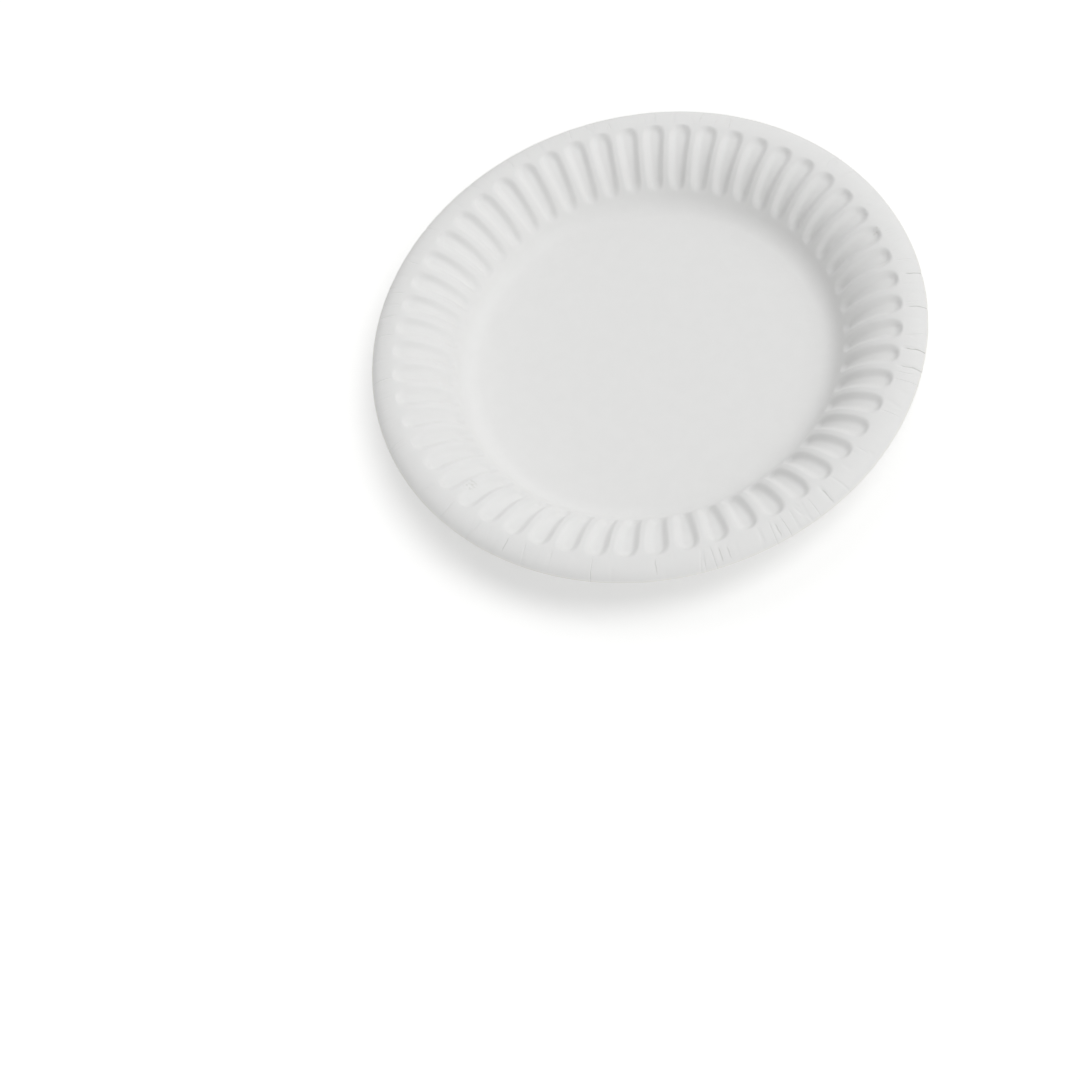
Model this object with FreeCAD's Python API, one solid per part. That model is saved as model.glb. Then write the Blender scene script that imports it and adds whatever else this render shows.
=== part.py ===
import FreeCAD, Part
import math
import os

# A fluted paper plate, pressed from one disc of paperboard and standing on its flat floor.
# +Z is up and the origin is at the middle of the underside. Lengths are in millimetres, angles in degrees.
# Profiles are drawn in the XZ plane, where x is the distance from the plate's axis.

# The disc and its profile, measured on the upper face
plate_diameter = 230.0
board_thickness = 0.5
corner_radius = 9.5
wall_length = 4.05
wall_angle = 59.0
shoulder_radius = 27.5
brim_width = 9.2
brim_radius = 20.0
brim_angle = 15.0
lip_angle = 48.0

# The flutes, which a blunt tool with sloping flanks presses into the shoulder from above
flute_count = 54
flute_outer_width = 10.3
flute_inner_width = 8.0
flute_depth = 1.5
flank_width = 2.6
flute_to_crest = 0.4

# The sheet bends in narrow flats: so many up the corner, along each flute's straight part and round a quarter
# of each flute's end
flats_in_corner = 5
flats_along = 3
flats_round = 2

# How far the forming blocks and the tool reach past the sheet
block_margin = 2.0
tool_margin = 0.4

UP = FreeCAD.Vector(0, 0, 1)
AXIS_FOOT = FreeCAD.Vector(0, 0, 0)


def point(x, z):
    return FreeCAD.Vector(x, 0, z)


def along(centre, radius, angle):
    """The point on a circle of the profile, with the angle measured from straight up towards the rim."""
    turn = math.radians(angle)
    return point(centre.x + radius * math.sin(turn), centre.z + radius * math.cos(turn))


def arc(centre, radius, start, end):
    middle = along(centre, radius, (start + end) / 2)
    return Part.Arc(along(centre, radius, start), middle, along(centre, radius, end)).toShape()


def line(start, end):
    return Part.LineSegment(start, end).toShape()


def lip_radius():
    """The radius of the lip, which turns from brim_angle to lip_angle in what is left of the brim's width."""
    brim_reach = brim_radius * math.sin(math.radians(brim_angle))
    turn = math.sin(math.radians(lip_angle)) - math.sin(math.radians(brim_angle))
    return (brim_width - brim_reach) / turn


def profile_centres():
    """The centres of the corner, shoulder, brim and lip, worked out so that each runs smoothly into the next."""
    slope = math.radians(wall_angle)
    bend = corner_radius + shoulder_radius
    crest_x = plate_diameter / 2 - brim_width
    corner_x = crest_x - bend * math.sin(slope) - wall_length * math.cos(slope)
    corner = point(corner_x, board_thickness + corner_radius)
    shoulder = point(crest_x, corner.z + wall_length * math.sin(slope) - bend * math.cos(slope))
    brim = point(crest_x, shoulder.z + shoulder_radius - brim_radius)
    lip = along(brim, brim_radius - lip_radius(), brim_angle)
    return corner, shoulder, brim, lip


def flute_corners():
    """The corners of half the flute's outline, from its outer tip to its inner tip.

    Each is the path from the crest to the middle of its end, the half width there, and its bearing from that middle.
    """
    outer_path = flute_to_crest + flute_outer_width / 2
    inner_path = shoulder_radius * math.radians(wall_angle) - flute_inner_width / 2
    corners = []
    for index in range(flats_round + 1):
        bearing = math.radians(90 * index / flats_round - 90)
        corners.append((outer_path, flute_outer_width / 2, bearing))
    for index in range(1, flats_along):
        share = index / flats_along
        path = outer_path + (inner_path - outer_path) * share
        width = flute_outer_width + (flute_inner_width - flute_outer_width) * share
        corners.append((path, width / 2, 0))
    for index in range(flats_round + 1):
        bearing = math.radians(90 * index / flats_round)
        corners.append((inner_path, flute_inner_width / 2, bearing))
    return corners


def flute_ring(narrowing):
    """The path and side of each corner of half the flute's outline, drawn in by narrowing."""
    ring = []
    for path, half_width, bearing in flute_corners():
        radius = half_width - narrowing
        ring.append((path + radius * math.sin(bearing), radius * math.cos(bearing)))
    return ring


def on_shoulder(path, side, depth):
    """The point that lies path down from the crest along the shoulder, side from its middle and depth into it."""
    shoulder = profile_centres()[1]
    spot = along(shoulder, shoulder_radius - depth, -math.degrees(path / shoulder_radius))
    return spot + FreeCAD.Vector(0, side, 0)


def bends(inset):
    """Where the line of surface_edges turns from flat to flat, from the foot of the corner up to the crest."""
    corner = profile_centres()[0]
    spots = []
    for index in range(flats_in_corner + 1):
        spots.append(along(corner, corner_radius + inset, 180 - wall_angle * index / flats_in_corner))
    for path, _ in reversed(flute_ring(0)):
        spots.append(on_shoulder(path, 0, inset))
    spots.append(on_shoulder(0, 0, inset))
    return spots


def surface_edges(inset, lip_end):
    """The sheet's line from the axis to the lip, moved into the sheet from its upper face by inset."""
    _, _, brim, lip = profile_centres()
    spots = [point(0, board_thickness - inset)] + bends(inset)
    edges = []
    for start, end in zip(spots, spots[1:]):
        edges.append(line(start, end))
    edges.append(arc(brim, brim_radius - inset, 0, brim_angle))
    edges.append(arc(lip, lip_radius() - inset, brim_angle, lip_end))
    return edges


def block(edges, base_z, width):
    """A block under the given line, closed at base_z and as wide as a sector of width degrees at its far end."""
    first = edges[0].firstVertex().Point
    last = edges[-1].lastVertex().Point
    side_foot = point(last.x, base_z)
    axis_base = point(0, base_z)
    sides = [line(last, side_foot), line(side_foot, axis_base), line(axis_base, first)]
    face = Part.Face(Part.Wire(edges + sides))
    half = last.x * math.tan(math.radians(width / 2))
    face.translate(FreeCAD.Vector(0, -half, 0))
    return face.extrude(FreeCAD.Vector(0, 2 * half, 0))


def wedge(width):
    """The upright slice of width degrees that holds one sector of the plate."""
    reach = plate_diameter
    half = reach * math.tan(math.radians(width / 2))
    corners = [
        FreeCAD.Vector(0, 0, -block_margin),
        FreeCAD.Vector(reach, -half, -block_margin),
        FreeCAD.Vector(reach, half, -block_margin),
    ]
    face = Part.Face(Part.makePolygon(corners + corners[:1]))
    return face.extrude(UP * plate_diameter)


def flat_face(corners):
    """A flat face through the corners, where neighbours that coincide count once."""
    kept = []
    for corner, before in zip(corners, corners[-1:] + corners[:-1]):
        if corner.distanceToPoint(before) > Part.Precision.confusion():
            kept.append(corner)
    return Part.Face(Part.makePolygon(kept + kept[:1]))


def flute_tool(inset):
    """The tool that presses one flute into the surface that lies inset below the sheet's upper face."""
    levels = [(inset - tool_margin, 0), (inset, 0), (inset + flute_depth, flank_width)]
    right_rings = []
    left_rings = []
    for depth, narrowing in levels:
        ring = flute_ring(narrowing)
        right_rings.append([on_shoulder(path, side, depth) for path, side in ring])
        left_rings.append([on_shoulder(path, -side, depth) for path, side in ring])

    # The top and the nose join the right side to the left, flat by flat
    faces = []
    for right, left in ((right_rings[0], left_rings[0]), (right_rings[-1], left_rings[-1])):
        for index in range(len(right) - 1):
            faces.append(flat_face([right[index], right[index + 1], left[index + 1], left[index]]))

    # The sides twist as the tool bends, so each flat of theirs is two triangles
    for rings in (right_rings, left_rings):
        for high, low in zip(rings, rings[1:]):
            for index in range(len(high) - 1):
                faces.append(flat_face([high[index], high[index + 1], low[index]]))
                faces.append(flat_face([high[index + 1], low[index + 1], low[index]]))
    tool = Part.Solid(Part.Shell(faces))
    if tool.Volume < 0:
        tool.reverse()
    return tool


def sheet_sector():
    """One flute with its share of the floor and brim, left between an upper and a lower forming block."""
    pitch = 360 / flute_count
    overrun = lip_angle + math.degrees(block_margin / lip_radius())
    upper = block(surface_edges(0, overrun), -block_margin, pitch)
    upper = upper.common(wedge(pitch))
    upper = upper.common(Part.makeCylinder(plate_diameter / 2, plate_diameter, point(0, -block_margin)))
    lower = block(surface_edges(board_thickness, overrun), -2 * block_margin, 2 * pitch)
    upper = upper.cut(flute_tool(0))
    lower = lower.cut(flute_tool(board_thickness))
    return upper.cut(lower)


def plate():
    """The sectors joined all round into one sheet."""
    first = sheet_sector()
    sectors = []
    for index in range(flute_count):
        copy = first.copy()
        copy.rotate(AXIS_FOOT, UP, index * 360 / flute_count)
        sectors.append(copy)
    return sectors[0].fuse(sectors[1:]).removeSplitter()


os.makedirs("parts", exist_ok=True)
plate().exportStep("parts/plate.step")
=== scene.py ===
import logging
import math
import random
from dataclasses import dataclass, field
from enum import Enum
from typing import Callable, List, Optional, Sequence, Tuple, Union

import bpy
from mathutils import Matrix, Vector


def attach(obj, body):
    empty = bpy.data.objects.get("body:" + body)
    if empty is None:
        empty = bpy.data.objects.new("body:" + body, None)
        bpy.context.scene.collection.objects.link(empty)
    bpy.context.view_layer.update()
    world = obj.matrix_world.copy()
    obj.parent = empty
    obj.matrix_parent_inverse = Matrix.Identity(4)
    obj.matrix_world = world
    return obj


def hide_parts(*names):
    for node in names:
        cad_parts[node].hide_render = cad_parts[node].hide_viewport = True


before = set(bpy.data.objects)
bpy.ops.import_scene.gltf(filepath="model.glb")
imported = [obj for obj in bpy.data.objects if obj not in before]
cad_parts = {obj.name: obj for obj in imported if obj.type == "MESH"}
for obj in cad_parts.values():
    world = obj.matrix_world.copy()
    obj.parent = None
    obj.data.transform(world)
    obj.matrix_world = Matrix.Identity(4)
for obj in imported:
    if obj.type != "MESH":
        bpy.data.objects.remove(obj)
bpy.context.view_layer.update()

log = logging.getLogger("paper_plate")

MM = 0.001
SEED = 54

Weight = Callable[[Vector], float]
Span = Tuple[float, float]


class LampRole(Enum):
    """What each studio lamp does."""

    KEY_LOW = "key_low"
    KEY_MIDDLE = "key_middle"
    KEY_HIGH = "key_high"
    FRONT = "front"
    BACK = "back"


def linear(hex_colour: str) -> Tuple[float, float, float, float]:
    """Turns an sRGB hex colour into the linear RGBA value that a shader socket takes.

    Args:
        hex_colour: Six hex digits with a leading #.

    Returns:
        Red, green, blue and an alpha of 1.
    """
    channels = [int(hex_colour[i:i + 2], 16) / 255 for i in (1, 3, 5)]
    values = [c / 12.92 if c <= 0.04045 else ((c + 0.055) / 1.055) ** 2.4 for c in channels]
    return values[0], values[1], values[2], 1.0


def smooth_step(value: float, start: float, end: float) -> float:
    """Rises smoothly from 0 at start to 1 at end.

    Args:
        value: The place to read.
        start: Where the rise starts.
        end: Where it ends, which may be lower than start.

    Returns:
        A number from 0 to 1.
    """
    share = min(max((value - start) / (end - start), 0.0), 1.0)
    return share * share * (3 - 2 * share)


def deselect_all() -> None:
    """Leaves no object selected or being edited."""
    if bpy.context.object and bpy.context.object.mode != "OBJECT":
        bpy.ops.object.mode_set(mode="OBJECT")
    bpy.ops.object.select_all(action="DESELECT")


def make_active(piece: bpy.types.Object) -> None:
    """Selects one object alone and makes it the active one.

    Args:
        piece: The object.
    """
    deselect_all()
    piece.select_set(True)
    bpy.context.view_layer.objects.active = piece


def apply_modifier(piece: bpy.types.Object, kind: str, **settings: object) -> None:
    """Adds a modifier with its settings and applies it.

    Args:
        piece: The mesh object.
        kind: The modifier's type.
        settings: Its properties by name.
    """
    make_active(piece)
    modifier = piece.modifiers.new(kind.title(), kind)
    for name, value in settings.items():
        setattr(modifier, name, value)
    bpy.ops.object.modifier_apply(modifier=modifier.name)


def face_up(sheet: bpy.types.Object) -> None:
    """Turns an open sheet's faces over if its flat floor looks down.

    Args:
        sheet: The open sheet.
    """
    floor_face = min(sheet.data.polygons, key=lambda face: face.center.xy.length)
    if floor_face.normal.z < 0:
        sheet.data.flip_normals()


def press(piece: bpy.types.Object, name: str, depth: float, weight: Weight) -> None:
    """Presses a sheet in along its own normals, as a die does, by a depth times a weight at each point.

    Args:
        piece: The open sheet, whose faces look up.
        name: The name of the vertex group that holds the weights.
        depth: How far a weight of 1 is pressed in.
        weight: Gives the weight, from 0 to 1, at a point of the sheet.
    """
    group = piece.vertex_groups.new(name=name)
    for vertex in piece.data.vertices:
        value = weight(vertex.co)
        if value > 0:
            group.add([vertex.index], value, "REPLACE")
    apply_modifier(
        piece, "DISPLACE", direction="NORMAL", mid_level=0.0, strength=-depth, vertex_group=name
    )
    piece.vertex_groups.clear()


def add_node(
    tree: bpy.types.NodeTree, kind: str, inputs: Optional[dict] = None, links: Optional[dict] = None,
    **settings: object,
) -> bpy.types.Node:
    """Adds a node with its settings and links.

    Args:
        tree: The material's or world's node tree.
        kind: The node's type.
        inputs: Socket values by name or number.
        links: Output sockets by the name or number of the input that they feed.
        settings: The node's own properties.

    Returns:
        The new node.
    """
    node = tree.nodes.new(kind)
    for name, value in settings.items():
        setattr(node, name, value)
    for name, value in (inputs or {}).items():
        node.inputs[name].default_value = value
    for name, socket in (links or {}).items():
        tree.links.new(socket, node.inputs[name])
    return node


def maths(
    tree: bpy.types.NodeTree, operation: str, first: bpy.types.NodeSocket,
    second: Union[bpy.types.NodeSocket, float] = 0.0,
) -> bpy.types.NodeSocket:
    """Adds one step of arithmetic.

    Args:
        tree: The material's node tree.
        operation: What is done, such as ADD.
        first: The first value.
        second: The second value, as a socket or a plain number.

    Returns:
        The result.
    """
    if isinstance(second, bpy.types.NodeSocket):
        inputs, links = {}, {0: first, 1: second}
    else:
        inputs, links = {1: second}, {0: first}
    return add_node(tree, "ShaderNodeMath", inputs, links, operation=operation).outputs[0]


@dataclass(frozen=True)
class Stretch:
    """One straight or evenly curved stretch of the sheet's line."""

    distance: float
    height: float
    slope: float
    curvature: float
    length: float

    def point_at(self, walked: float) -> Tuple[float, float]:
        """Finds a point of the stretch.

        Args:
            walked: The distance walked along it from its start.

        Returns:
            The distance from the axis and the height over the ground.
        """
        if not self.curvature:
            return self.distance + walked * math.cos(self.slope), self.height + walked * math.sin(self.slope)
        slope = self.slope + walked * self.curvature
        return (
            self.distance + (math.sin(slope) - math.sin(self.slope)) / self.curvature,
            self.height - (math.cos(slope) - math.cos(self.slope)) / self.curvature,
        )

    def walked_to(self, distance: float) -> float:
        """Finds how far along the stretch a distance from the axis is reached.

        Args:
            distance: The distance from the axis.

        Returns:
            The distance walked from the start of the stretch.
        """
        if not self.curvature:
            return (distance - self.distance) / math.cos(self.slope)
        sine = math.sin(self.slope) + (distance - self.distance) * self.curvature
        return (math.asin(min(max(sine, -1.0), 1.0)) - self.slope) / self.curvature


@dataclass
class SheetProfile:
    """The sheet's line from the axis to the cut edge, measured on its upper face.

    A flat floor, a hollow corner, a short straight wall, a long round shoulder, and a brim that ends in a
    rolled lip.
    """

    plate_radius: float = 115.0 * MM
    board: float = 0.5 * MM
    corner_radius: float = 9.5 * MM
    wall_length: float = 4.05 * MM
    wall_angle: float = math.radians(59.0)
    shoulder_radius: float = 27.5 * MM
    brim_width: float = 9.2 * MM
    brim_radius: float = 20.0 * MM
    brim_angle: float = math.radians(15.0)
    lip_angle: float = math.radians(48.0)

    def __post_init__(self) -> None:
        """Lays the stretches end to end and notes how far along the sheet each one ends."""
        self.crest_radius = self.plate_radius - self.brim_width
        bend = (self.corner_radius + self.shoulder_radius) * math.sin(self.wall_angle)
        self.floor_radius = self.crest_radius - bend - self.wall_length * math.cos(self.wall_angle)
        brim_reach = self.brim_radius * math.sin(self.brim_angle)
        lip_turn = math.sin(self.lip_angle) - math.sin(self.brim_angle)
        lip_radius = (self.brim_width - brim_reach) / lip_turn
        self.stretches: List[Stretch] = []
        self.floor_path = self.lay(self.floor_radius, 0.0, 0.0)
        self.corner_path = self.lay(self.corner_radius * self.wall_angle, 0.0, 1 / self.corner_radius)
        self.lay(self.wall_length, self.wall_angle, 0.0)
        self.crest_path = self.lay(
            self.shoulder_radius * self.wall_angle, self.wall_angle, -1 / self.shoulder_radius
        )
        self.lay(self.brim_radius * self.brim_angle, 0.0, -1 / self.brim_radius)
        lip_length = lip_radius * (self.lip_angle - self.brim_angle)
        self.edge_path = self.lay(lip_length, -self.brim_angle, -1 / lip_radius)

    def lay(self, length: float, slope: float, curvature: float) -> float:
        """Adds a stretch to the end of the line.

        Args:
            length: Its length.
            slope: The slope it starts with.
            curvature: How fast it steepens, in radians a metre.

        Returns:
            The length of the line so far.
        """
        distance, height = 0.0, self.board
        if self.stretches:
            distance, height = self.stretches[-1].point_at(self.stretches[-1].length)
        self.stretches.append(Stretch(distance, height, slope, curvature, length))
        return sum(stretch.length for stretch in self.stretches)

    def place(self, path: float) -> Tuple[float, float]:
        """Finds a point of the line.

        Args:
            path: The distance walked from the axis along the sheet.

        Returns:
            The distance from the axis and the height over the ground.
        """
        walked = path
        for stretch in self.stretches[:-1]:
            if walked <= stretch.length:
                return stretch.point_at(walked)
            walked -= stretch.length
        return self.stretches[-1].point_at(walked)

    def path_at(self, distance: float) -> float:
        """Finds how far along the sheet a point is.

        Args:
            distance: The point's distance from the axis before anything is pressed.

        Returns:
            The distance walked from the axis along the sheet.
        """
        path = 0.0
        for stretch, following in zip(self.stretches, self.stretches[1:]):
            if distance <= following.distance:
                return path + stretch.walked_to(distance)
            path += stretch.length
        return path + self.stretches[-1].walked_to(distance)


@dataclass
class Flute:
    """The mark of one blunt forming tool, with long soft flanks at its sides and steeper, round ends."""

    outer_width: float = 10.3 * MM
    inner_width: float = 8.0 * MM
    depth: float = 1.75 * MM
    side_flank: float = 3.4 * MM
    end_flank: float = 1.9 * MM
    from_crest: float = 0.45 * MM
    from_corner: float = 2.4 * MM

    def depth_at(self, profile: SheetProfile, path: float, across: float) -> float:
        """Finds how deep the tool presses at one point.

        Args:
            profile: The sheet's line.
            path: The distance from the axis along the sheet.
            across: The distance to the side of the flute's middle line.

        Returns:
            The depth in metres.
        """
        outer = profile.crest_path - self.from_crest - self.outer_width / 2
        inner = profile.corner_path + self.from_corner + self.inner_width / 2
        share = min(max((path - inner) / (outer - inner), 0.0), 1.0)
        width = self.inner_width + (self.outer_width - self.inner_width) * share
        beyond = max(0.0, inner - path, path - outer)
        away = math.hypot(across, beyond)
        facing_end = (beyond / away) ** 2 if away else 0.0
        flank = self.side_flank + (self.end_flank - self.side_flank) * facing_end
        return self.depth * smooth_step(width / 2 - away, 0.0, flank)


@dataclass
class Crease:
    """One radial crease, where the flat board buckled as it was drawn into the die."""

    angle: float
    start: float
    end: float
    half_width: float = 0.65 * MM
    depth: float = 0.3 * MM
    fade: float = 2 * MM
    half_widths_felt: float = 3

    def depth_at(self, bearing: float, distance: float) -> float:
        """Finds the crease's depth at a point.

        Args:
            bearing: The point's angle about the axis.
            distance: Its distance from the axis.

        Returns:
            The depth in metres.
        """
        turn = (bearing - self.angle + math.pi) % (2 * math.pi) - math.pi
        side = abs(turn) * distance / self.half_width
        if side > self.half_widths_felt:
            return 0.0
        begun = smooth_step(distance, self.start - self.fade, self.start)
        ended = smooth_step(distance, self.end + self.fade, self.end)
        return self.depth * math.exp(-side * side) * begun * ended


@dataclass
class PressedPlate:
    """The whole plate: one disc of board, pressed with its flutes, its rolled brim and its creases."""

    profile: SheetProfile = field(default_factory=SheetProfile)
    flute: Flute = field(default_factory=Flute)
    flute_count: int = 54
    columns: int = 20
    column_crowding: float = 0.14
    floor_rings: Sequence[float] = (24 * MM, 48 * MM, 66 * MM)
    corner_rows: int = 6
    wall_rows: int = 27
    row_crowding: float = 0.06
    brim_rows: int = 8
    sector_weld: float = 0.001 * MM
    sheet_weld: float = 0.005 * MM
    smooth_below: float = math.radians(50)
    crease_reach: float = 3 * MM
    crossing_room: float = 1.5
    # The faint creases' lengths, depths and distances from the rim are in millimetres
    faint_lengths: Span = (2.0, 7.0)
    faint_depths: Span = (0.03, 0.13)
    faint_stops: Sequence[float] = (0.0, 0.0, 3.0)
    # Each clear crease's bearing in degrees, then its start, end and depth in millimetres
    clear_creases: Sequence[Tuple[float, float, float, float]] = (
        (354.1, 108.2, 115.0, 0.42),
        (345.6, 107.3, 115.0, 0.34),
        (335.1, 106.8, 114.5, 0.42),
        (330.7, 106.6, 114.0, 0.32),
        (296.9, 107.1, 112.5, 0.28),
        (284.8, 107.8, 112.2, 0.24),
        (272.5, 107.6, 112.0, 0.26),
        (274.2, 108.2, 112.0, 0.20),
        (259.5, 106.8, 111.5, 0.20),
        (227.3, 106.4, 111.0, 0.26),
    )

    def stations(self) -> List[float]:
        """Lists how far along the sheet each row of points lies, close together where the flutes end.

        Returns:
            The distances from the axis along the sheet.
        """
        line = self.profile
        rows = [0.0, *self.floor_rings]
        for index in range(self.corner_rows):
            rows.append(line.floor_path + (line.corner_path - line.floor_path) * index / self.corner_rows)
        for index in range(self.wall_rows):
            share = index / self.wall_rows
            eased = share - self.row_crowding * math.sin(4 * math.pi * share)
            rows.append(line.corner_path + (line.crest_path - line.corner_path) * eased)
        for index in range(self.brim_rows + 1):
            rows.append(line.crest_path + (line.edge_path - line.crest_path) * index / self.brim_rows)
        return rows

    def column_turns(self) -> List[float]:
        """Lists the angles between one flute's columns of points, narrow at the ridges on each side.

        Returns:
            The angles, which add up to one flute's pitch.
        """
        pitch = 2 * math.pi / self.flute_count
        edges = []
        for index in range(self.columns + 1):
            share = 2 * index / self.columns - 1
            edges.append(pitch / 2 * (share + self.column_crowding * math.sin(math.pi * share)))
        return [after - before for before, after in zip(edges, edges[1:])]

    def build_sector(self) -> bpy.types.Object:
        """Models one flute's share of the sheet: the profile is extruded point by point and spun.

        Returns:
            The sector as an open mesh, centred on +X.
        """
        bpy.ops.mesh.primitive_plane_add(size=MM, location=(0, 0, self.profile.board))
        sector = bpy.context.object
        sector.name = "pressed_sheet"
        bpy.ops.object.transform_apply(location=True, rotation=True, scale=True)
        bpy.ops.object.mode_set(mode="EDIT")
        bpy.ops.mesh.select_all(action="SELECT")
        bpy.ops.mesh.merge(type="CENTER")
        places = [self.profile.place(path) for path in self.stations()]
        for before, after in zip(places, places[1:]):
            step = (after[0] - before[0], 0, after[1] - before[1])
            bpy.ops.mesh.extrude_region_move(TRANSFORM_OT_translate={"value": step})
        bpy.ops.mesh.select_all(action="SELECT")
        # Without a window, rotate turns the other way, and the spin then goes back across +X
        half_pitch = math.pi / self.flute_count
        bpy.ops.transform.rotate(value=-half_pitch, orient_axis="Z", center_override=(0, 0, 0))
        for turn in self.column_turns():
            bpy.ops.mesh.spin(steps=1, angle=turn, center=(0, 0, 0), axis=(0, 0, 1))
        bpy.ops.mesh.select_all(action="SELECT")
        bpy.ops.mesh.remove_doubles(threshold=self.sector_weld)
        bpy.ops.object.mode_set(mode="OBJECT")
        face_up(sector)
        return sector

    def press_flute(self, sector: bpy.types.Object) -> None:
        """Presses the flute into the sector.

        Args:
            sector: One flute's share of the sheet.
        """
        def weight(point: Vector) -> float:
            """Finds how deep the tool presses at a point, as a share of its depth.

            Args:
                point: A point of the sector.

            Returns:
                The share, from 0 to 1.
            """
            distance = math.hypot(point.x, point.y)
            if distance < self.profile.floor_radius:
                return 0.0
            path = self.profile.path_at(distance)
            across = distance * math.atan2(point.y, point.x)
            return self.flute.depth_at(self.profile, path, across) / self.flute.depth

        press(sector, "flute", self.flute.depth, weight)

    def copy_round(self, sheet: bpy.types.Object) -> None:
        """Copies the sector all round the axis and joins the copies into one sheet that faces up.

        Args:
            sheet: The sector, which becomes the whole sheet.
        """
        make_active(sheet)
        bpy.ops.object.mode_set(mode="EDIT")
        bpy.ops.mesh.select_all(action="SELECT")
        pitch = 2 * math.pi / self.flute_count
        copies = self.flute_count - 1
        bpy.ops.mesh.spin(steps=copies, angle=pitch * copies, dupli=True, center=(0, 0, 0), axis=(0, 0, 1))
        bpy.ops.mesh.select_all(action="SELECT")
        bpy.ops.mesh.remove_doubles(threshold=self.sheet_weld)
        bpy.ops.mesh.normals_make_consistent(inside=False)
        bpy.ops.object.mode_set(mode="OBJECT")
        face_up(sheet)

    def marked_creases(self) -> List[Crease]:
        """Lists the brim's clear creases, each at its own place."""
        return [
            Crease(math.radians(bearing), start * MM, end * MM, depth=depth * MM)
            for bearing, start, end, depth in self.clear_creases
        ]

    def creases(self) -> List[Crease]:
        """Lists all of the brim's creases: the clear ones, and faint ones at uneven places between.

        Returns:
            The creases.
        """
        rim = self.profile.plate_radius
        marks = self.marked_creases()
        draw = random.Random(SEED)
        pitch = 2 * math.pi / self.flute_count
        for index in range(self.flute_count):
            angle = pitch * (index + draw.uniform(-0.5, 0.5))
            length = draw.uniform(*self.faint_lengths) * MM
            end = rim - draw.choice(self.faint_stops) * MM
            marks.append(Crease(angle, end - length, end, depth=draw.uniform(*self.faint_depths) * MM))
        return marks

    def press_creases(self, sheet: bpy.types.Object) -> None:
        """Presses the creases into the brim.

        Args:
            sheet: The open sheet.
        """
        marks = self.creases()
        deepest = max(mark.depth for mark in marks) * self.crossing_room

        def weight(point: Vector) -> float:
            """Adds up the creases' depths at a point, as a share of the deepest that they may reach.

            Args:
                point: A point of the sheet.

            Returns:
                The share, from 0 to 1.
            """
            distance = math.hypot(point.x, point.y)
            if distance < self.profile.crest_radius - self.crease_reach:
                return 0.0
            bearing = math.atan2(point.y, point.x)
            return min(sum(mark.depth_at(bearing, distance) for mark in marks) / deepest, 1.0)

        press(sheet, "creases", deepest, weight)

    def build(self) -> bpy.types.Object:
        """Models the plate, gives the board its thickness and dresses it.

        Returns:
            The finished plate, which replaces the CAD solid.
        """
        deselect_all()
        plate = self.build_sector()
        self.press_flute(plate)
        self.copy_round(plate)
        self.press_creases(plate)
        apply_modifier(plate, "SOLIDIFY", thickness=self.profile.board, offset=-1.0, use_even_offset=True)
        make_active(plate)
        bpy.ops.object.shade_smooth_by_angle(angle=self.smooth_below)
        plate.data.materials.clear()
        plate.data.materials.append(PressedBoard().material(self.profile, self.marked_creases()))
        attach(plate, "root")
        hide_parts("plate")
        return plate


@dataclass(frozen=True)
class Relief:
    """How high a pattern stands, or how deep it lies where the distance is negative, and how strongly."""

    distance: float
    strength: float


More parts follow.
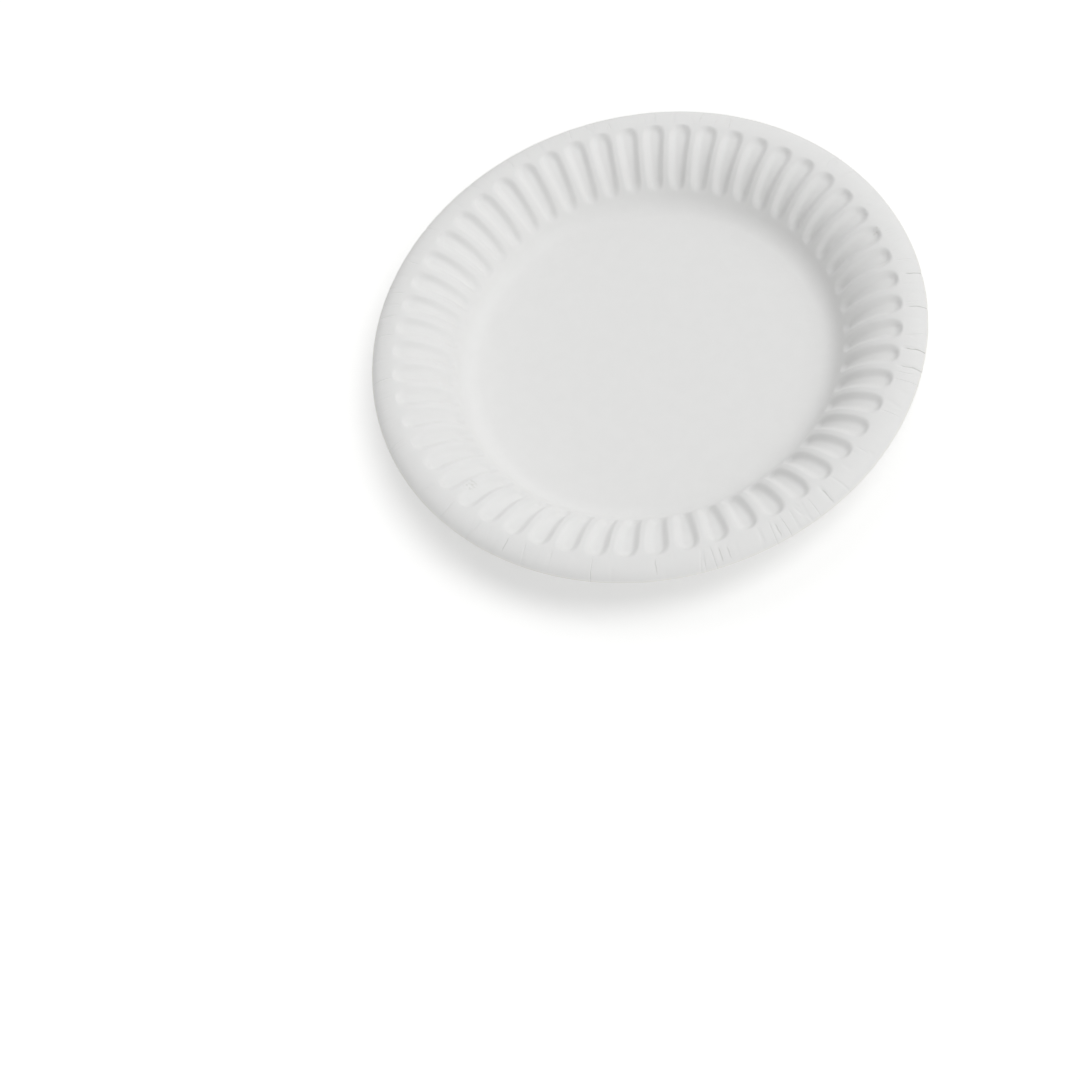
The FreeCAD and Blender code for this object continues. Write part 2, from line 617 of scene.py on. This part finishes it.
@dataclass(frozen=True)
class PressedBoard:
    """Uncoated white paperboard, hot-pressed in a die.

    To the eye it is matt and nearly neutral, with a cloudy formation of the pulp, a fine fibre grain, a
    slightly closed and shinier skin where the die pressed it hardest, hair-thin radial folds on the brim, a
    shaded line in each clear crease, small roughened spots where the board tore, and a raw, paler fibre along
    the cut edge.
    """

    colour: str = "#EFEFEE"
    cloud_colour: str = "#EEEEED"
    raw_colour: str = "#F3F2EF"
    shade_colour: str = "#CFCFCC"
    torn_colour: str = "#E2E2DF"
    roughness: float = 0.82
    pressed_roughness: float = 0.62
    ior: float = 1.5
    noise_roughness: float = 0.6
    cloud_size: float = 7.0 * MM
    cloud_span: Span = (0.35, 0.65)
    pressed_span: Span = (0.3, 0.6)
    fibre_size: float = 0.5 * MM
    pucker_size: float = 2.2 * MM
    wall_rise: float = 8 * MM
    brim_rise: Span = (-1 * MM, 2 * MM)
    edge_band: float = 0.45 * MM
    fold_spacing: float = 7.0 * MM
    fold_share: float = 0.035
    fold_drift: float = 0.2
    patch_share: float = 0.6
    patch_span: Span = (0.42, 0.62)
    line_width: float = 0.45 * MM
    line_wander: float = 1.2 * MM
    line_wave: float = 4 * MM
    line_rise: Span = (-0.5 * MM, 1.5 * MM)
    # Each torn spot's bearing in degrees, then its distance from the axis and its radius in millimetres
    torn_spots: Sequence[Tuple[float, float, float]] = ((7.3, 104.0, 2.2), (210.4, 96.2, 3.4))
    torn_size: float = 1.2 * MM
    torn_span: Span = (0.48, 0.6)
    torn_core: float = 0.4
    fibre_relief: Relief = Relief(0.04 * MM, 0.35)
    pucker_relief: Relief = Relief(0.1 * MM, 0.4)
    fold_relief: Relief = Relief(-0.15 * MM, 0.8)
    line_relief: Relief = Relief(-0.05 * MM, 0.6)
    torn_relief: Relief = Relief(-0.06 * MM, 0.6)

    def noise(
        self, tree: bpy.types.NodeTree, place: bpy.types.NodeSocket, size: float, detail: float
    ) -> bpy.types.NodeSocket:
        """Adds a noise pattern.

        Args:
            tree: The material's node tree.
            place: The coordinates that it is read at.
            size: The size of its cells.
            detail: How many finer layers it has.

        Returns:
            The pattern's value, from 0 to 1.
        """
        inputs = {"Scale": 1 / size, "Detail": detail, "Roughness": self.noise_roughness}
        return add_node(tree, "ShaderNodeTexNoise", inputs, {"Vector": place}).outputs["Fac"]

    def ramp(
        self, tree: bpy.types.NodeTree, value: bpy.types.NodeSocket, start: float, end: float
    ) -> bpy.types.NodeSocket:
        """Adds a smooth rise from 0 at start to 1 at end, where end may be lower than start.

        Args:
            tree: The material's node tree.
            value: What is read.
            start: The value that gives 0.
            end: The value that gives 1.

        Returns:
            The risen value.
        """
        low, high, first, last = (start, end, 0.0, 1.0) if start < end else (end, start, 1.0, 0.0)
        node = add_node(
            tree, "ShaderNodeMapRange", {1: low, 2: high, 3: first, 4: last}, {0: value},
            interpolation_type="SMOOTHSTEP",
        )
        return node.outputs[0]

    def blend(
        self, tree: bpy.types.NodeTree, share: bpy.types.NodeSocket, first: object, second: object
    ) -> bpy.types.NodeSocket:
        """Blends from the first colour to the second, each of which is a hex colour or a socket.

        Args:
            tree: The material's node tree.
            share: 0 for the first colour and 1 for the second.
            first: The first colour.
            second: The second colour.

        Returns:
            The blended colour.
        """
        inputs, links = {}, {0: share}
        for slot, colour in ((6, first), (7, second)):
            if isinstance(colour, str):
                inputs[slot] = linear(colour)
            else:
                links[slot] = colour
        return add_node(tree, "ShaderNodeMix", inputs, links, data_type="RGBA").outputs[2]

    def round_place(
        self, tree: bpy.types.NodeTree, flat: bpy.types.NodeSocket, rim: float
    ) -> Tuple[bpy.types.NodeSocket, bpy.types.NodeSocket]:
        """Reads where a point lies round the plate's axis.

        Args:
            tree: The material's node tree.
            flat: Object coordinates seen from above, with a height of 0.
            rim: The plate's radius.

        Returns:
            The distance from the axis, and coordinates that run round the rim and change only slowly outwards.
        """
        distance = add_node(tree, "ShaderNodeVectorMath", {}, {0: flat}, operation="LENGTH").outputs["Value"]
        heading = add_node(tree, "ShaderNodeVectorMath", {}, {0: flat}, operation="NORMALIZE")
        on_rim = add_node(
            tree, "ShaderNodeVectorMath", {"Scale": rim}, {0: heading.outputs[0]}, operation="SCALE"
        )
        drift = maths(tree, "MULTIPLY", distance, self.fold_drift)
        outward = add_node(tree, "ShaderNodeCombineXYZ", {}, {2: drift})
        round_rim = add_node(
            tree, "ShaderNodeVectorMath", {}, {0: on_rim.outputs[0], 1: outward.outputs[0]}, operation="ADD"
        )
        return distance, round_rim.outputs[0]

    def folds(
        self, tree: bpy.types.NodeTree, round_rim: bpy.types.NodeSocket, on_brim: bpy.types.NodeSocket
    ) -> bpy.types.NodeSocket:
        """Draws hair-thin radial folds where a noise that runs round the rim crosses its middle value.

        Args:
            tree: The material's node tree.
            round_rim: Coordinates that run round the rim.
            on_brim: 1 on the brim and 0 elsewhere.

        Returns:
            How deep the folds are, from 0 to 1.
        """
        wave = self.noise(tree, round_rim, self.fold_spacing, 1.0)
        gap = maths(tree, "ABSOLUTE", maths(tree, "SUBTRACT", wave, 0.5))
        thin = self.ramp(tree, gap, self.fold_share, 0.0)
        patches = self.noise(tree, round_rim, self.fold_spacing * self.patch_share, 0.0)
        patchy = self.ramp(tree, patches, *self.patch_span)
        return maths(tree, "MULTIPLY", maths(tree, "MULTIPLY", thin, patchy), on_brim)

    def lines(
        self, tree: bpy.types.NodeTree, flat: bpy.types.NodeSocket, marks: Sequence[Crease]
    ) -> bpy.types.NodeSocket:
        """Draws the thin, slightly wandering line of each clear crease, where the board closed over itself. The
        line is painted shade, darkening the board as if shade lay in the fold, and it also sinks a shallow
        groove.

        Args:
            tree: The material's node tree.
            flat: Object coordinates seen from above.
            marks: The creases.

        Returns:
            1 in the deepest crease's line, less in the others, and 0 elsewhere.
        """
        wave = self.noise(tree, flat, self.line_wave, 1.0)
        wander = add_node(
            tree, "ShaderNodeMapRange", {3: -self.line_wander / 2, 4: self.line_wander / 2}, {0: wave}
        ).outputs[0]
        deepest = max(mark.depth for mark in marks)
        drawn = None
        for mark in marks:
            ahead = (math.cos(mark.angle), math.sin(mark.angle), 0)
            sideways = (-ahead[1], ahead[0], 0)
            outward = add_node(tree, "ShaderNodeVectorMath", {1: ahead}, {0: flat}, operation="DOT_PRODUCT")
            across = add_node(tree, "ShaderNodeVectorMath", {1: sideways}, {0: flat}, operation="DOT_PRODUCT")
            outward, across = outward.outputs["Value"], across.outputs["Value"]
            away = maths(tree, "ABSOLUTE", maths(tree, "ADD", across, wander))
            line = self.ramp(tree, away, self.line_width * 0.8, self.line_width * 0.2)
            begun = self.ramp(tree, outward, mark.start + self.line_rise[0], mark.start + self.line_rise[1])
            ended = self.ramp(tree, outward, mark.end + mark.fade, mark.end)
            shown = maths(tree, "MULTIPLY", begun, ended)
            faded = maths(tree, "MULTIPLY", shown, mark.depth / deepest)
            line = maths(tree, "MULTIPLY", line, faded)
            drawn = maths(tree, "MAXIMUM", drawn, line) if drawn else line
        return drawn

    def torn(self, tree: bpy.types.NodeTree, flat: bpy.types.NodeSocket) -> bpy.types.NodeSocket:
        """Speckles the small spots where the board tore a little.

        Args:
            tree: The material's node tree.
            flat: Object coordinates seen from above.

        Returns:
            How torn the board is, from 0 to 1.
        """
        speckle = self.ramp(tree, self.noise(tree, flat, self.torn_size, 2.0), *self.torn_span)
        spotted = None
        for bearing, distance, size in self.torn_spots:
            turn = math.radians(bearing)
            centre = (distance * MM * math.cos(turn), distance * MM * math.sin(turn), 0)
            away = add_node(tree, "ShaderNodeVectorMath", {1: centre}, {0: flat}, operation="DISTANCE")
            spot = self.ramp(tree, away.outputs["Value"], size * MM, size * self.torn_core * MM)
            spotted = maths(tree, "MAXIMUM", spotted, spot) if spotted else spot
        return maths(tree, "MULTIPLY", spotted, speckle)

    def bump(
        self, tree: bpy.types.NodeTree, height: bpy.types.NodeSocket, relief: Relief,
        below: Optional[bpy.types.NodeSocket],
    ) -> bpy.types.NodeSocket:
        """Adds a layer of relief.

        Args:
            tree: The material's node tree.
            height: The pattern, from 0 to 1.
            relief: How far a value of 1 stands out, and how strongly.
            below: The normal of the layer below, if there is one.

        Returns:
            The new normal.
        """
        links = {"Height": height}
        if below:
            links["Normal"] = below
        inputs = {"Strength": relief.strength, "Distance": abs(relief.distance)}
        return add_node(tree, "ShaderNodeBump", inputs, links, invert=relief.distance < 0).outputs["Normal"]

    def material(self, profile: SheetProfile, marks: Sequence[Crease]) -> bpy.types.Material:
        """Builds the board's material.

        Args:
            profile: The sheet's line, which says where the brim and the cut edge are.
            marks: The clear creases.

        Returns:
            The finished material.
        """
        material = bpy.data.materials.new("pressed_white_board")
        material.use_nodes = True
        tree = material.node_tree
        shader = tree.nodes["Principled BSDF"]
        shader.inputs["IOR"].default_value = self.ior
        place = add_node(tree, "ShaderNodeTexCoord").outputs["Object"]
        parts = add_node(tree, "ShaderNodeSeparateXYZ", {}, {0: place})
        flat = add_node(tree, "ShaderNodeCombineXYZ", {}, {0: parts.outputs[0], 1: parts.outputs[1]}).outputs[0]
        distance, round_rim = self.round_place(tree, flat, profile.plate_radius)
        crest, floor = profile.crest_radius, profile.floor_radius
        on_brim = self.ramp(tree, distance, crest + self.brim_rise[0], crest + self.brim_rise[1])
        on_wall = self.ramp(tree, distance, floor, floor + self.wall_rise)
        at_edge = self.ramp(
            tree, distance, profile.plate_radius - 2 * self.edge_band, profile.plate_radius - self.edge_band / 2
        )
        clouds = self.noise(tree, place, self.cloud_size, 3.0)
        fibres = self.noise(tree, place, self.fibre_size, 3.0)
        pucker = self.noise(tree, place, self.pucker_size, 2.0)
        folds = self.folds(tree, round_rim, on_brim)
        torn = self.torn(tree, flat)
        lines = self.lines(tree, flat, marks)
        board = self.blend(tree, self.ramp(tree, clouds, *self.cloud_span), self.colour, self.cloud_colour)
        board = self.blend(tree, at_edge, board, self.raw_colour)
        board = self.blend(tree, torn, board, self.torn_colour)
        # Painted shade: each clear crease's line is darkened with the shade colour as if shade lay in the fold
        board = self.blend(tree, lines, board, self.shade_colour)
        tree.links.new(board, shader.inputs["Base Color"])
        pressed = maths(tree, "MULTIPLY", on_wall, self.ramp(tree, clouds, *self.pressed_span))
        skin = add_node(
            tree, "ShaderNodeMapRange", {3: self.roughness, 4: self.pressed_roughness}, {0: pressed}
        )
        tree.links.new(skin.outputs[0], shader.inputs["Roughness"])
        layers = (
            (fibres, self.fibre_relief),
            (pucker, self.pucker_relief),
            (folds, self.fold_relief),
            (lines, self.line_relief),
            (torn, self.torn_relief),
        )
        normal = None
        for pattern, relief in layers:
            normal = self.bump(tree, pattern, relief, normal)
        tree.links.new(normal, shader.inputs["Normal"])
        return material


@dataclass(frozen=True)
class Lamp:
    """One large soft lamp, far enough away to light evenly, with its angles in degrees."""

    role: LampRole
    elevation: float
    azimuth: float
    strength: float
    spread: float


@dataclass
class Studio:
    """The pale floor, the soft lamps, the even surround and the camera."""

    floor_size: float = 6.0
    floor_colour: str = "#F4F4F3"
    floor_roughness: float = 0.9
    floor_specular: float = 0.1
    floor_lift: float = 0.3
    surround: float = 0.26
    lamps: Sequence[Lamp] = (
        Lamp(LampRole.KEY_LOW, 25, 3.5, 0.18, 40),
        Lamp(LampRole.KEY_MIDDLE, 45, 3.5, 0.37, 40),
        Lamp(LampRole.KEY_HIGH, 65, 3.5, 0.70, 40),
        Lamp(LampRole.FRONT, 35, -90, 0.80, 60),
        Lamp(LampRole.BACK, 35, 90, 0.76, 60),
    )
    lens: float = 58.97
    sensor: float = 36.0
    nearest_seen: float = 0.01
    camera_place: Tuple[float, float, float] = (-8.10 * MM, -420.32 * MM, 619.57 * MM)
    camera_aim: Tuple[float, float, float] = (-62.63 * MM, -70.88 * MM, 0.0)
    camera_roll: float = math.radians(-23.68)

    def build_floor(self) -> bpy.types.Object:
        """Lays the pale floor, which shows white to the camera and keeps the plate's shadow.

        Returns:
            The floor.
        """
        deselect_all()
        bpy.ops.mesh.primitive_plane_add(size=self.floor_size)
        floor = bpy.context.object
        floor.name = "pale_floor"
        material = bpy.data.materials.new("pale_floor_paper")
        material.use_nodes = True
        tree = material.node_tree
        shader = tree.nodes["Principled BSDF"]
        shader.inputs["Base Color"].default_value = linear(self.floor_colour)
        shader.inputs["Roughness"].default_value = self.floor_roughness
        shader.inputs["Specular IOR Level"].default_value = self.floor_specular
        shader.inputs["Emission Color"].default_value = (1, 1, 1, 1)
        rays = add_node(tree, "ShaderNodeLightPath").outputs
        seen = maths(tree, "MAXIMUM", rays["Is Camera Ray"], rays["Is Glossy Ray"])
        seen = maths(tree, "MAXIMUM", seen, rays["Is Transmission Ray"])
        lift = maths(tree, "MULTIPLY", seen, self.floor_lift)
        tree.links.new(lift, shader.inputs["Emission Strength"])
        floor.data.materials.append(material)
        return floor

    def build_surround(self) -> None:
        """Lights everything evenly from all round, and shows white to the camera."""
        world = bpy.data.worlds.new("surround")
        bpy.context.scene.world = world
        world.use_nodes = True
        tree = world.node_tree
        tree.nodes["Background"].inputs["Color"].default_value = (1, 1, 1, 1)
        rays = add_node(tree, "ShaderNodeLightPath")
        strength = add_node(
            tree, "ShaderNodeMix", {2: self.surround, 3: 1.0}, {0: rays.outputs["Is Camera Ray"]},
            data_type="FLOAT",
        )
        tree.links.new(strength.outputs[0], tree.nodes["Background"].inputs["Strength"])

    def build_lamp(self, lamp: Lamp) -> None:
        """Hangs one lamp.

        Args:
            lamp: Where it hangs and how bright it is.
        """
        data = bpy.data.lights.new(lamp.role.value, "SUN")
        data.energy = lamp.strength
        data.angle = math.radians(lamp.spread)
        azimuth, elevation = math.radians(lamp.azimuth), math.radians(lamp.elevation)
        flat = math.cos(elevation)
        away = Vector((math.cos(azimuth) * flat, math.sin(azimuth) * flat, math.sin(elevation)))
        shown = bpy.data.objects.new(lamp.role.value, data)
        shown.rotation_euler = away.to_track_quat("Z", "Y").to_euler()
        shown.location = away
        bpy.context.scene.collection.objects.link(shown)

    def build_camera(self) -> None:
        """Sets up the camera where the photograph was taken from, above and in front of the plate."""
        data = bpy.data.cameras.new("studio_camera")
        data.lens = self.lens
        data.sensor_width = self.sensor
        data.clip_start = self.nearest_seen
        camera = bpy.data.objects.new("studio_camera", data)
        place = Vector(self.camera_place)
        level = (Vector(self.camera_aim) - place).to_track_quat("-Z", "Y").to_matrix()
        rolled = level @ Matrix.Rotation(self.camera_roll, 3, "Z")
        camera.matrix_world = Matrix.Translation(place) @ rolled.to_4x4()
        bpy.context.scene.collection.objects.link(camera)
        bpy.context.scene.camera = camera

    def build(self) -> None:
        """Builds the whole studio."""
        bpy.context.scene.view_settings.view_transform = "Standard"
        self.build_floor()
        self.build_surround()
        for lamp in self.lamps:
            self.build_lamp(lamp)
        self.build_camera()


def main() -> None:
    """Builds the plate, then the studio round it, and reports each piece."""
    logging.basicConfig(level=logging.INFO, format="%(name)s: %(message)s")
    piece = PressedPlate().build()
    piece.data.calc_loop_triangles()
    log.info("%s has %d triangles", piece.name, len(piece.data.loop_triangles))
    Studio().build()


if __name__ == "__main__":
    main()
